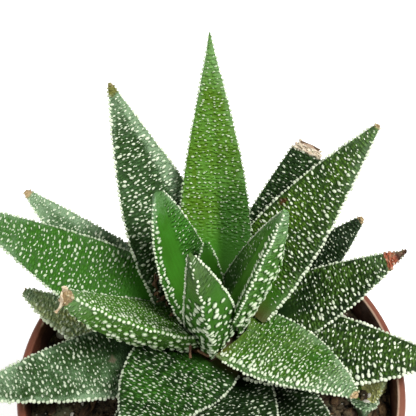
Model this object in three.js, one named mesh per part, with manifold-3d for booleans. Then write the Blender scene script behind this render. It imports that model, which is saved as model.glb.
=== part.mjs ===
// A haworthia rosette in a round terracotta-coloured nursery pot, in millimetres, +Z up.
// The origin is the middle of the pot's underside. +Y is the back of the plant, +X its right.
// Azimuths are turned anticlockwise from +X, seen from above.
import * as THREE from 'three';
import { mergeVertices } from 'three/addons/utils/BufferGeometryUtils.js';
import Module from 'manifold-3d';

// Pot
const POT_HEIGHT = 93;
const RIM_RADIUS = 52.5;
const RIM_WIDTH = 2.4;
const RIM_DEPTH = 13;
const RIM_ROUND = 0.8;
const WALL = 1.6;
const SHOULDER_RADIUS = 48.6;
const BASE_RADIUS = 37;
const BASE_ROUND = 2;
const FLOOR_THICKNESS = 2;
const FLOOR_LIFT = 3;
const FOOT_WIDTH = 6;
const CENTRE_FOOT = 9;
const POT_SIDES = 40;
const DRAIN_HOLES = 6;
const DRAIN_RADIUS = 4;
const DRAIN_CIRCLE = 20;
const DRAIN_SIDES = 10;

// Soil, with chips of bark and perlite bedded in its top
const SOIL_LEVEL = 83.2;
const SOIL_CROWN = 0.6;
const SOIL_LUMP = 0.6;
const SOIL_RINGS = 5;
const SOIL_SIDES = 40;
const CHIPS = 14;
const CHIP_RADIUS = 2;
const CHIP_SPREAD = 1.2;
const CHIP_NEAREST = 27;
const CHIP_FARTHEST = 46;
const CHIP_FLATNESS = 0.6;
const CHIP_SEED = 11;
// Each wave: its steps along X and Y, where it starts along each, and its share of the lump height
const SOIL_WAVES = [
  { stepX: 0.31, startX: 1.3, stepY: 0.27, startY: 2, share: 1 },
  { stepX: 0.9, startX: 0.5, stepY: 1.1, startY: 2, share: 0.5 },
];

// Stem, which stands in a plain hole of the soil
const STEM_X = 1;
const STEM_Y = 12;
const STEM_TOP = 101;
const STEM_FOOT = 66;
const STEM_PROFILE = [[4, STEM_FOOT], [6.5, 78], [7, 88], [5, 95], [3.2, 99], [1.6, STEM_TOP]];
const STEM_SIDES = 16;

// Leaf form, shared by every leaf
const GAP = 0.3;
const LEAF_THICKNESS = 5;
const LEAF_ROOT = 2;
const LEAF_FOOT = 3;
const LEAF_END = 0.985;
const LEAF_LIMIT = 0.995;
const WIDEST = 0.78;
const TAPER = 1.15;
const BLUNTNESS = 0.05;
const TIP_ROUNDING = 0.03;
const BASE_NARROWING = 0.12;
const THICKEST = 0.6;
const THICK_TAPER = 0.9;
const KEEL = 1.6;
const CHANNEL = 1.2;
const TIP_CROWN = 0.5;
const MARGIN_THICKNESS = 0.8;
const MARGIN_TAPER = 6;
const CUT_DISH = 0.3;
const ARCH = 0.04;

// Tubercles, raised on every second corner of a leaf's skin
const TUBERCLE = 0.6;
const SMOOTH_BASE = 0.2;
const SMOOTH_TIP = 0.03;
const ROWS_PER_MM = 0.21;
const FEWEST_ROWS = 5;
const COLUMNS = 6;
const ROOM_GROWTH = 1.1;
const ROOM_COLUMNS = 4;
const ROOM_ROWS_PER_MM = 0.14;

const GREEN = '#3d7a2c';
const DARK_GREEN = '#23502c';
const YOUNG_GREEN = '#5c9a3d';

// Each leaf grows from the stem at a height, towards an azimuth, and its chord rises by an angle.
// bow bends it sideways, arch bends it down, roll turns its upper face, and cut is the share that is
// left of a cut leaf.
// A taper over 1 draws its margins in towards the tip, blunt is the share of its length by which the
// point that they aim at lies past the tip, and a low keel makes its underside sharper.
// The youngest leaf comes first, because each leaf's foot is shaped around the leaves inside it.
const YOUNG_LEAVES = [
  { name: 'heart', azimuth: 105, rise: 76, length: 30.5, width: 8, height: 98, thick: 2.4 },
  {
    name: 'inner_front', azimuth: -130, rise: 81, length: 49, width: 13, height: 97,
    bow: -0.04, thick: 6.5, roll: 40, keel: 1.2,
  },
  {
    name: 'inner_right', azimuth: -2, rise: 73, length: 62, width: 16.5, height: 94,
    thick: 7.5, roll: 4, arch: -0.01, root: -2, blunt: 0.03,
  },
  {
    name: 'inner_left', azimuth: 143, rise: 70, length: 46, width: 16.5, height: 102,
    taper: 1, blunt: 0.08,
  },
];
const MIDDLE_LEAVES = [
  {
    name: 'back_centre', azimuth: 92, rise: 56, length: 78, width: 18.5, height: 102,
    bow: 0.008, taper: 1.35, blunt: 0.01,
  },
  {
    name: 'front_left', azimuth: 188, rise: 34, length: 46, width: 18, height: 102,
    thick: 8, roll: 30, cut: 0.94, keel: 1.3, blunt: 0.04,
  },
  { name: 'front_right', azimuth: -40, rise: 17, length: 45, width: 19.5, height: 102, bow: -0.055 },
  { name: 'back_right', azimuth: 38, rise: 42, length: 70, width: 21, height: 99, bow: -0.03, taper: 1.3 },
  {
    name: 'back_left', azimuth: 124, rise: 50, length: 73, width: 23, height: 98,
    taper: 1.35, blunt: 0.04,
  },
  {
    name: 'front', azimuth: -119, rise: 20, length: 46, width: 27, height: 97,
    bow: 0.04, taper: 1.4,
  },
  {
    name: 'left_long', azimuth: 167, rise: 30, length: 74, width: 22.5, height: 98,
    thick: 4, roll: -8, blunt: 0.03,
  },
];
const OLD_LEAVES = [
  { name: 'right_long', azimuth: -12, rise: 6, length: 61, width: 25, height: 98, blunt: 0.03 },
  {
    name: 'back_right_cut', azimuth: 57, rise: 38, length: 70, width: 16.5, height: 95,
    cut: 0.81, taper: 1, blunt: 0.04,
  },
  { name: 'lower_left', azimuth: -158, rise: 13, length: 72, width: 22, height: 93, bow: 0.03, blunt: 0.01 },
  { name: 'right_dry_tip', azimuth: 12, rise: 28, length: 56, width: 19.5, height: 94 },
  { name: 'front_lower', azimuth: -77, rise: 16, length: 52, width: 22, height: 92 },
  { name: 'back_small', azimuth: 151, rise: 29, length: 66, width: 18.5, height: 92, thick: 4.5 },
  { name: 'right_dark', azimuth: 32, rise: 28, length: 53, width: 18, height: 91, thick: 4.5 },
  { name: 'front_lower_right', azimuth: -49, rise: 12, length: 50, width: 22, height: 90, thick: 4.5 },
  {
    name: 'left_small', azimuth: 170, rise: 15, length: 54, width: 18, height: 90,
    bow: -0.065, thick: 4.5, blunt: 0.07,
  },
  { name: 'front_lower_left', azimuth: -130, rise: 4, length: 46, width: 18, height: 91, thick: 4 },
  { name: 'low_back', azimuth: 98, rise: 16, length: 46, width: 17, height: 90, thick: 4 },
  { name: 'low_back_left', azimuth: 120, rise: 12, length: 43, width: 17, height: 89, thick: 4 },
  { name: 'low_back_right', azimuth: 72, rise: 14, length: 38, width: 15, height: 90, thick: 4 },
];
const LEAVES = [
  ...YOUNG_LEAVES.map((leaf) => ({ ...leaf, tone: YOUNG_GREEN })),
  ...MIDDLE_LEAVES.map((leaf) => ({ ...leaf, tone: GREEN })),
  ...OLD_LEAVES.map((leaf) => ({ ...leaf, tone: DARK_GREEN })),
];

// A young offset that comes up through the soil near the rim
const OFFSET_X = 42.5;
const OFFSET_Y = -0.5;
const OFFSET_ROOT = -1;
const OFFSET_COLUMNS = 4;
const OFFSET_LEAVES = [
  { azimuth: 130, rise: 28, length: 12, width: 8, height: 83, thick: 4 },
  { azimuth: 15, rise: 48, length: 9, width: 6.5, height: 83, thick: 4 },
  { azimuth: -100, rise: 34, length: 10, width: 7, height: 83, thick: 4 },
];

const wasm = await Module();
wasm.setup();

const radians = THREE.MathUtils.degToRad;

// A closed three.js geometry as a solid.
function solidFrom(geometry) {
  const bare = geometry.clone();
  bare.deleteAttribute('normal');
  bare.deleteAttribute('uv');
  const merged = mergeVertices(bare, 1e-4);
  return new wasm.Manifold(new wasm.Mesh({
    numProp: 3,
    vertProperties: new Float32Array(merged.attributes.position.array),
    triVerts: new Uint32Array(merged.index.array),
  }));
}

// A solid as a three.js geometry.
function geometryFrom(solid) {
  const mesh = solid.getMesh();
  const geometry = new THREE.BufferGeometry();
  geometry.setAttribute('position', new THREE.BufferAttribute(new Float32Array(mesh.vertProperties), 3));
  geometry.setIndex(new THREE.BufferAttribute(new Uint32Array(mesh.triVerts), 1));
  geometry.computeVertexNormals();
  return geometry;
}

// The largest body of a solid, without the scraps that a cut leaves.
function largestBody(solid) {
  return solid.decompose().reduce((a, b) => (b.volume() > a.volume() ? b : a));
}

// A closed tube of rings of equal size, with a fan at each end. peaks tells which corners are raised,
// so that every square is split between the two that are not. dish sinks the last fan's middle inwards.
function closedRings(rings, peaks, dish = 0) {
  const sides = rings[0].length;
  const points = rings.flat();
  const first = points.length;
  const middle = (ring) => ring.reduce((sum, p) => sum.add(p), new THREE.Vector3()).divideScalar(sides);
  points.push(middle(rings[0]), middle(rings.at(-1)).lerp(middle(rings.at(-2)), dish));
  const index = [];
  for (let i = 0; i + 1 < rings.length; i += 1) {
    for (let j = 0; j < sides; j += 1) {
      const k = (j + 1) % sides;
      const [a, b, c, d] = [i * sides + j, i * sides + k, (i + 1) * sides + k, (i + 1) * sides + j];
      if (peaks(i, j)) index.push(a, b, d, b, c, d);
      else index.push(a, b, c, a, c, d);
    }
  }
  const last = (rings.length - 1) * sides;
  for (let j = 0; j < sides; j += 1) {
    const k = (j + 1) % sides;
    index.push(first, k, j, first + 1, last + j, last + k);
  }
  const geometry = new THREE.BufferGeometry();
  const flat = points.flatMap((p) => [p.x, p.y, p.z]);
  geometry.setAttribute('position', new THREE.BufferAttribute(new Float32Array(flat), 3));
  geometry.setIndex(index);
  return geometry;
}

// The middle line and the three directions of a leaf at t, from 0 at its foot to 1 at its tip.
function leafFrame(leaf, t) {
  const { azimuth, rise, length, height, bow = 0, roll = 0, arch = ARCH } = leaf;
  const { x = STEM_X, y = STEM_Y, root = LEAF_ROOT } = leaf;
  const [a, e, r] = [azimuth, rise, roll].map(radians);
  const out = new THREE.Vector3(Math.cos(a), Math.sin(a), 0);
  const along = out.clone().multiplyScalar(Math.cos(e)).setZ(Math.sin(e));
  const flatUp = out.clone().multiplyScalar(-Math.sin(e)).setZ(Math.cos(e));
  const flatSide = along.clone().cross(flatUp);
  const up = flatUp.clone().multiplyScalar(Math.cos(r)).addScaledVector(flatSide, Math.sin(r));
  const side = along.clone().cross(up);
  const bulge = 4 * t * (1 - t) * length;
  const slope = 4 * (1 - 2 * t);
  const centre = new THREE.Vector3(x, y, height)
    .addScaledVector(out, root)
    .addScaledVector(along, t * length)
    .addScaledVector(up, -arch * bulge)
    .addScaledVector(side, bow * bulge);
  const tangent = along.clone()
    .addScaledVector(up, -arch * slope)
    .addScaledVector(side, bow * slope)
    .normalize();
  const normal = up.addScaledVector(tangent, -up.dot(tangent)).normalize();
  return { centre, normal, side: tangent.clone().cross(normal) };
}

// How much of a leaf's section the rounding of its tip leaves at u, the share of the length from the tip.
const tipRounding = (u) => Math.sqrt(Math.min(1, u / TIP_ROUNDING));

// Half the width of a leaf at u. The margins aim at a point a little past the rounded tip, and the leaf
// is widest near its foot.
function leafHalfWidth(leaf, u) {
  const aim = u + (leaf.blunt ?? BLUNTNESS);
  const share = aim < WIDEST
    ? Math.sin((Math.PI / 2) * (aim / WIDEST)) ** (leaf.taper ?? TAPER)
    : 1 - BASE_NARROWING * ((aim - WIDEST) / (1 - WIDEST)) ** 2;
  return (leaf.width / 2) * share * tipRounding(u);
}

// A point of the leaf's skin. across runs from -1 to 1, and face is 1 on the upper side and -1 below.
function leafPoint(leaf, t, across, face, raise) {
  const { centre, normal, side } = leafFrame(leaf, t);
  const u = 1 - t;
  const half = leafHalfWidth(leaf, u);
  const fullThickness = leaf.thick ?? LEAF_THICKNESS;
  const aim = Math.min(1, (u + (leaf.blunt ?? BLUNTNESS)) / THICKEST);
  const thick = fullThickness * Math.sin((Math.PI / 2) * aim) ** THICK_TAPER * tipRounding(u);
  const channel = CHANNEL * Math.min(1, u / WIDEST) - TIP_CROWN;
  const margin = (MARGIN_THICKNESS / 2) * Math.min(1, MARGIN_TAPER * u);
  const upper = margin - channel * (1 - across * across);
  const lower = -margin - thick * (1 - Math.abs(across) ** (leaf.keel ?? KEEL));
  const lean = Math.atan2(across * thick, half);
  return centre
    .addScaledVector(side, across * half + raise * Math.sin(lean))
    .addScaledVector(normal, (face > 0 ? upper : lower) + face * raise * Math.cos(lean));
}

// The corners of a leaf's skin that stand up, every second one, and by how much.
const peak = (i, j) => (i + j) % 2 === 0;
const tubercled = (i, j, t) => (peak(i, j) && t > SMOOTH_BASE && t < 1 - SMOOTH_TIP ? TUBERCLE : 0);

// A leaf as a solid. raise gives the height of the skin's corner at row i and column j, t along the leaf.
// overrun lengthens it at both ends.
function leafSolid(leaf, raise, columns = COLUMNS, rowsPerMm = ROWS_PER_MM, overrun = 0) {
  const rows = Math.max(FEWEST_ROWS, Math.round(leaf.length * rowsPerMm));
  const start = ((leaf.foot ?? LEAF_FOOT) - overrun) / leaf.length;
  const end = Math.min((leaf.cut ?? LEAF_END) + overrun / leaf.length, LEAF_LIMIT);
  const rings = [];
  for (let i = 0; i <= rows; i += 1) {
    const t = start + ((end - start) * i) / rows;
    const ring = [];
    for (const face of [1, -1]) {
      for (let j = 0; j <= columns; j += 1) {
        const across = face * ((2 * j) / columns - 1);
        ring.push(leafPoint(leaf, t, across, face, raise(i, ring.length, t)));
      }
    }
    rings.push(ring);
  }
  return solidFrom(closedRings(rings, peak, leaf.cut ? CUT_DISH : 0));
}

// The room that a leaf takes from the leaves outside it: a coarser leaf, grown by a gap all round.
function leafRoom(leaf) {
  return leafSolid(leaf, () => ROOM_GROWTH, ROOM_COLUMNS, ROOM_ROWS_PER_MM, ROOM_GROWTH);
}

// The stem as a solid, grown by a distance.
function stemSolid(growth) {
  const points = STEM_PROFILE.map(([r, z]) => new THREE.Vector2(r + growth, z));
  const foot = new THREE.Vector2(0, STEM_FOOT - growth);
  const top = new THREE.Vector2(0, STEM_TOP + growth);
  points[0].y -= growth;
  points[points.length - 1].y += growth;
  const lathe = new THREE.LatheGeometry([foot, ...points, top], STEM_SIDES);
  lathe.rotateX(Math.PI / 2);
  lathe.translate(STEM_X, STEM_Y, 0);
  return solidFrom(lathe);
}

// The pot: a foot ring and a round foot in its middle, a straight wall, and a wider band under the rim.
function potSolid() {
  const shoulder = POT_HEIGHT - RIM_DEPTH;
  const inside = RIM_RADIUS - RIM_WIDTH;
  const footInside = BASE_RADIUS - FOOT_WIDTH;
  const floor = FLOOR_LIFT + FLOOR_THICKNESS;
  const outline = [
    [0, 0], [CENTRE_FOOT, 0], [CENTRE_FOOT, FLOOR_LIFT], [footInside, FLOOR_LIFT], [footInside, 0],
    [BASE_RADIUS - BASE_ROUND, 0],
    [BASE_RADIUS, BASE_ROUND], [SHOULDER_RADIUS, shoulder], [RIM_RADIUS - RIM_ROUND, shoulder],
    [RIM_RADIUS, shoulder + RIM_ROUND], [RIM_RADIUS, POT_HEIGHT - RIM_ROUND],
    [RIM_RADIUS - RIM_ROUND, POT_HEIGHT], [inside, POT_HEIGHT], [inside, shoulder + WALL],
    [SHOULDER_RADIUS - WALL, shoulder], [BASE_RADIUS - WALL, floor], [0, floor],
  ];
  const lathe = new THREE.LatheGeometry(outline.map(([r, z]) => new THREE.Vector2(r, z)), POT_SIDES);
  lathe.rotateX(Math.PI / 2);
  let pot = solidFrom(lathe);
  for (let i = 0; i < DRAIN_HOLES; i += 1) {
    const turn = (2 * Math.PI * i) / DRAIN_HOLES;
    const drill = new THREE.CylinderGeometry(DRAIN_RADIUS, DRAIN_RADIUS, 2 * floor, DRAIN_SIDES);
    drill.rotateX(Math.PI / 2);
    drill.translate(DRAIN_CIRCLE * Math.cos(turn), DRAIN_CIRCLE * Math.sin(turn), FLOOR_LIFT);
    pot = pot.subtract(solidFrom(drill));
  }
  return pot;
}

// The height of the soil at a place: a low crown with lumps.
function soilHeight(x, y) {
  const crown = SOIL_CROWN * (1 - (x * x + y * y) / RIM_RADIUS ** 2);
  const wave = (w) => w.share * Math.sin(w.stepX * x + w.startX) * Math.sin(w.stepY * y + w.startY);
  return SOIL_LEVEL + crown + SOIL_LUMP * SOIL_WAVES.reduce((sum, w) => sum + wave(w), 0);
}

// The soil fills the pot to a little under the rim and follows its inside.
function soilSolid() {
  const floor = FLOOR_LIFT + FLOOR_THICKNESS + GAP;
  const shoulder = POT_HEIGHT - RIM_DEPTH;
  const edge = RIM_RADIUS - RIM_WIDTH - GAP;
  const ring = (radius, height) => Array.from({ length: SOIL_SIDES }, (_, j) => {
    const turn = (2 * Math.PI * j) / SOIL_SIDES;
    const [x, y] = [radius * Math.cos(turn), radius * Math.sin(turn)];
    return new THREE.Vector3(x, y, height ?? soilHeight(x, y));
  });
  const rings = [ring(BASE_RADIUS - WALL - GAP, floor), ring(SHOULDER_RADIUS - WALL - GAP, shoulder + GAP)];
  rings.push(ring(edge, shoulder + WALL + GAP));
  for (let i = 0; i < SOIL_RINGS; i += 1) rings.push(ring(edge * (1 - i / SOIL_RINGS)));
  return solidFrom(closedRings(rings, peak));
}

// A repeatable source of numbers from 0 to 1.
function randomFrom(seed) {
  const [factor, range] = [16807, 2 ** 31 - 1];
  let state = seed;
  return () => {
    state = (state * factor) % range;
    return state / range;
  };
}

// Chips of bark and perlite, each a few-sided lump turned at random and bedded half in the soil.
function chipSolids() {
  const random = randomFrom(CHIP_SEED);
  return Array.from({ length: CHIPS }, () => {
    const turn = 2 * Math.PI * random();
    const distance = CHIP_NEAREST + (CHIP_FARTHEST - CHIP_NEAREST) * random();
    const chip = new THREE.IcosahedronGeometry(1, 0);
    const size = () => CHIP_RADIUS + CHIP_SPREAD * (random() - 0.5);
    chip.scale(size(), size(), CHIP_FLATNESS * size());
    chip.rotateX(random());
    chip.rotateZ(Math.PI * random());
    const [x, y] = [distance * Math.cos(turn), distance * Math.sin(turn)];
    chip.translate(x, y, soilHeight(x, y));
    return solidFrom(chip);
  });
}

const look = (tone, roughness) => new THREE.MeshStandardMaterial({ color: tone, roughness, metalness: 0 });

const plant = new THREE.Group();
function addPiece(name, solid, material) {
  const mesh = new THREE.Mesh(geometryFrom(solid), material);
  mesh.name = name;
  plant.add(mesh);
}

addPiece('pot', potSolid(), look('#8a4a38', 0.45));
addPiece('stem', stemSolid(0), look('#5d6137', 0.8));

// Leaves, from the youngest outwards
let occupied = stemSolid(GAP);
for (const leaf of LEAVES) {
  const blade = largestBody(leafSolid(leaf, tubercled).subtract(occupied));
  addPiece(`leaf_${leaf.name}`, blade, look(leaf.tone, 0.5));
  occupied = occupied.add(leafRoom(leaf));
}

// The offset
const offsetPlace = { x: OFFSET_X, y: OFFSET_Y, root: OFFSET_ROOT, foot: 0 };
const offsetLeaves = OFFSET_LEAVES.map((leaf) => ({ ...leaf, ...offsetPlace }));
const fuse = (solids) => solids.reduce((a, b) => a.add(b));
const offset = fuse(offsetLeaves.map((leaf) => leafSolid(leaf, tubercled, OFFSET_COLUMNS)));
addPiece('offset', offset, look('#6f8a4a', 0.6));
const offsetRoom = fuse(offsetLeaves.map(leafRoom));

// The soil, with plain room for the stem and the offset
const soil = chipSolids().reduce((a, b) => a.add(b), soilSolid());
addPiece('soil', largestBody(soil.subtract(stemSolid(GAP)).subtract(offsetRoom)), look('#33261d', 0.95));

export default plant;
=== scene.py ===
"""The finished look of a haworthia in a nursery pot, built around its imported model.

Every leaf keeps the curves of its solid in the model and carries its tubercles as small
domes. The tables give lengths in millimetres and angles in degrees, as a grower would
measure them, and every mesh is made in metres.
"""

import math
import random
from dataclasses import dataclass

import bmesh
import bpy
from mathutils import Euler, Matrix, Vector, noise
from mathutils.bvhtree import BVHTree


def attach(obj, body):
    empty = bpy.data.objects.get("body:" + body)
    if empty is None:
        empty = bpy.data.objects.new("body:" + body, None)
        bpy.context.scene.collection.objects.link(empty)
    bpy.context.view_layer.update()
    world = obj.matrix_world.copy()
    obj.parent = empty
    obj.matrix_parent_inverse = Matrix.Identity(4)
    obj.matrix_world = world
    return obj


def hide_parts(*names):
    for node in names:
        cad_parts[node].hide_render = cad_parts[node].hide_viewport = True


bl_info = {
    "name": "Potted Haworthia",
    "version": (1, 0, 0),
    "blender": (4, 5, 0),
    "location": "View3D > Sidebar > Haworthia",
    "description": "Builds a haworthia with white tubercles in its nursery pot",
    "category": "Add Mesh",
}

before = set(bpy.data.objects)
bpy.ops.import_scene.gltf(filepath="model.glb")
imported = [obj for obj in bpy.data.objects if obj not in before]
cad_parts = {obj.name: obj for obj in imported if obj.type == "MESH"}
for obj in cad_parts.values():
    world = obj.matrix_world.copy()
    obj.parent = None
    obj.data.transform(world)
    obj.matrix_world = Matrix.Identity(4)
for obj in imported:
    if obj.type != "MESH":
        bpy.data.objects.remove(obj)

# Noise vectors follow the clock unless they are seeded
NOISE_SEED = 2
noise.seed_set(NOISE_SEED)


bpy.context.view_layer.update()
MM = 0.001
UP = Vector((0, 0, 1))

# The stem's place, its outline of (radius, height), and the gap that is left round it
STEM_X = 1
STEM_Y = 12
STEM_OUTLINE = (
    (0, 66), (4, 66), (6.5, 78), (7, 88), (5, 95), (3.2, 99), (1.6, 101), (0, 101),
)
GAP = 0.3

# Where leaves are widest and thickest, and what their tips' rounding takes up, as shares of
# their length from the tip
WIDEST = 0.78
THICKEST = 0.6
TIP_ROUNDING = 0.03
# How much a foot narrows, the power with which thickness grows from the tip, and how soon
# the margins reach their own thickness
BASE_NARROWING = 0.12
THICK_TAPER = 0.9
MARGIN_TAPER = 6
# Depth of the channel above, rise of the tip's middle, and half the margin's thickness
CHANNEL = 1.2
TIP_CROWN = 0.5
MARGIN = 0.4
# Tilt of the skin's corners round a margin
MARGIN_TILT = 30
# Width of a crease, as a share of half the leaf's width
CREASE_WIDTH = 0.14
# No section of a leaf lies nearer its tip than this t
LEAF_LIMIT = 0.995
# A leaf that ends before this was cut off, and narrows over its callus
CUT_END = 0.9
CALLUS = 0.04
CALLUS_NARROWING = 0.2
# How far a withered tip shrinks and how far it wrinkles
SHRINKAGE = 0.5
WRINKLING = 1.8
# How far outside a leaf the room ends that outer leaves leave for it, and its faces
ROOM_GROWTH = 1.1
ROOM_ROWS_PER_MM = 0.3
ROOM_COLUMNS = 6
# Faces along and across the leaves of the offset
OFFSET_ROWS = 18
OFFSET_COLUMNS = 8

# Tubercles: the last t of a row, how close rows lie, how far off the trimmed skin one may be,
# the radius from which it gets more sides, and how many vertices are gathered at a time
LAST_ROW = 0.98
ROW_SPACING = 0.85
SKIN_REACH = 0.12
LARGE_BEAD = 0.36
BEAD_SIDES = (5, 7)
BATCH = 900

# What UV map Place adds below a leaf, and where map Skin puts its two sides and its ends
UNDERSIDE = 3
SKIN_ABOVE = 0.2
SKIN_BELOW = 0.55
SKIN_ENDS = 0.1

# Height of the soil, of its crown and of its lumps, and how it is turned
SOIL_LEVEL = 83.2
SOIL_CROWN = 0.6
SOIL_LUMP = 0.6
SOIL_EDGE = 49.8
SOIL_RINGS = 40
SOIL_SIDES = 144
# How far from the pot's axis the middles and the outsides of crumbs may lie
LUMP_CENTRES = 48.2
LUMP_REACH = 49.3
RIM_RADIUS = 52.5
# The drain holes, the circle they lie on and their radius
DRAIN_HOLES = 6
DRAIN_RING = 20
DRAIN_RADIUS = 4
# Sides of the stem and of round holes
STEM_SIDES = 48
HOLE_SIDES = 32

# Starts of the random draws
SOIL_SEED = 5
LEAF_SEED = 1
OFFSET_SEED = 50

# The pot's outline of (radius, height)
POT_OUTLINE = (
    (0, 0), (9, 0), (9, 3), (31, 3), (31, 0), (35, 0), (37, 2), (48.6, 80), (51.7, 80),
    (52.5, 80.8), (52.5, 92.2), (51.7, 93), (50.1, 93), (50.1, 81.6), (47, 80),
    (35.4, 5), (0, 5),
)


def srgb(code):
    """A colour written as #rrggbb, as linear red, green, blue and alpha."""
    parts = [int(code[i:i + 2], 16) / 255 for i in (1, 3, 5)]
    line = [p / 12.92 if p <= 0.04045 else ((p + 0.055) / 1.055) ** 2.4 for p in parts]
    return (*line, 1.0)


def with_alpha(colour):
    """A colour property's three values with an alpha of one."""
    return (*colour, 1.0)


def tip_rounding(t):
    """How much of a leaf's section is left at t by the rounding of its tip."""
    return math.sqrt(min(1, (1 - t) / TIP_ROUNDING))


@dataclass
class Leaf:
    """One leaf's form and place, its tubercles and its colours.

    t runs along a leaf from 0 at the stem to 1 at its tip, and across runs from -1 at one
    margin to 1 at the other.
    """

    name: str
    azimuth: float
    rise: float
    length: float
    width: float
    height: float
    # Thickness, curves to the side and down, turn about its length, the root's distance from
    # the stem's axis, the blade's start in mm and its end as t, its taper, the keel's
    # sharpness and a crease above
    thick: float = 5
    bow: float = 0
    arch: float = 0.04
    roll: float = 0
    root: float = 2
    foot: float = 3
    end: float = 0.985
    taper: float = 1.15
    blunt: float = 0.05
    keel: float = 1.6
    crease: float = 0.0
    x: float = STEM_X
    y: float = STEM_Y
    # Tubercles: size and spacing above and below, stretch below and stray on the keel, the
    # smooth foot, tip below and panel, the coarser margin, and whiteness
    dots: float = 1.0
    pitch: float = 1.5
    under: float = 1.3
    under_pitch: float = 1.8
    stretch: float = 1.0
    wander: float = 0.1
    bare: float = 0.2
    below_end: float = 0.97
    panel: float = 0.0
    panel_at: float = 0.0
    coarse: float = 0.0
    chalk: float = 0.8
    # Greens, with the foot's darker on most leaves as painted shade, waxy bloom in patches, at
    # a margin and as a film, and a side darkened with painted shade
    green: str = "moss"
    deep: str = "night"
    base: str = "night"
    below: str = ""
    frost: float = 0.3
    hoar: float = 0.0
    haze: float = 0.0
    shadow: float = 0.0
    shadow_green: str = "shade"
    dusk: float = 0.95
    # Brown foot, flecks, pitted relief with painted shade in its hollows, a scar and a dry tip
    brown: float = 0.12
    flecks: float = 0.4
    pits_and_shade: float = 0.65
    scar: float = 0.0
    scar_at: float = -0.82
    scab: str = "#4a2413"
    dry: float = 0.0
    dead: str = "#a8906a"
    withered: float = 0.0
    slot: str = "leaf"

    @property
    def cut(self):
        """Whether the leaf was cut off and ends in a callus."""
        return self.end < CUT_END

    def axes(self, t):
        """The middle of the leaf at t, and its directions along, up and to the side."""
        turn, rise, roll = (math.radians(v) for v in (self.azimuth, self.rise, self.roll))
        out = Vector((math.cos(turn), math.sin(turn), 0))
        along = out * math.cos(rise) + UP * math.sin(rise)
        flat_up = UP * math.cos(rise) - out * math.sin(rise)
        up = flat_up * math.cos(roll) + along.cross(flat_up) * math.sin(roll)
        side = along.cross(up)
        bulge = 4 * t * (1 - t) * self.length
        slope = 4 * (1 - 2 * t)
        middle = Vector((self.x, self.y, self.height)) + out * self.root
        middle += along * (t * self.length)
        middle += side * (self.bow * bulge) - up * (self.arch * bulge)
        tangent = (along - up * (self.arch * slope) + side * (self.bow * slope)).normalized()
        normal = (up - tangent * up.dot(tangent)).normalized()
        return middle, tangent, normal, tangent.cross(normal)

    def half_width(self, t):
        """Half the width at t. The margins aim at a point a little past the rounded tip."""
        aim = 1 - t + self.blunt
        if aim < WIDEST:
            share = math.sin(math.pi / 2 * aim / WIDEST) ** self.taper
        else:
            share = 1 - BASE_NARROWING * ((aim - WIDEST) / (1 - WIDEST)) ** 2
        return self.width / 2 * share * tip_rounding(t)

    def skin(self, t, across, tilt, grow=0.0):
        """A point of the skin. tilt is 90 above, -90 below, and between round a margin."""
        u = 1 - t
        middle, tangent, normal, side = self.axes(t)
        half = self.half_width(t)
        aim = min(1, (u + self.blunt) / THICKEST)
        thick = self.thick * math.sin(math.pi / 2 * aim) ** THICK_TAPER * tip_rounding(t)
        if self.cut:
            half *= 1 - CALLUS_NARROWING * max(0, (t - self.end + CALLUS) / CALLUS) ** 2
        margin = MARGIN * min(1, MARGIN_TAPER * u)
        face = math.sin(math.radians(tilt))
        height = margin * face
        if face > 0:
            height -= (CHANNEL * min(1, u / WIDEST) - TIP_CROWN) * (1 - across * across)
            height -= self.crease * min(1, 2 * u) * math.exp(-(across / CREASE_WIDTH) ** 2)
        else:
            height -= thick * (1 - abs(across) ** self.keel)
        reach = across * half + math.copysign(margin * math.cos(math.radians(tilt)), across)
        lean = math.atan2(across * thick, half)
        reach += grow * math.sin(lean)
        height += face * grow * math.cos(lean)
        point = middle + side * reach + normal * height
        if self.withered and t > 1 - self.withered:
            drought = (t - 1 + self.withered) / self.withered
            wobble = noise.noise_vector(point * 0.45 + Vector((7, 0, 3)))
            point = middle + (point - middle) * (1 - SHRINKAGE * drought)
            point += wobble * (WRINKLING * drought)
        return point


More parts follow.
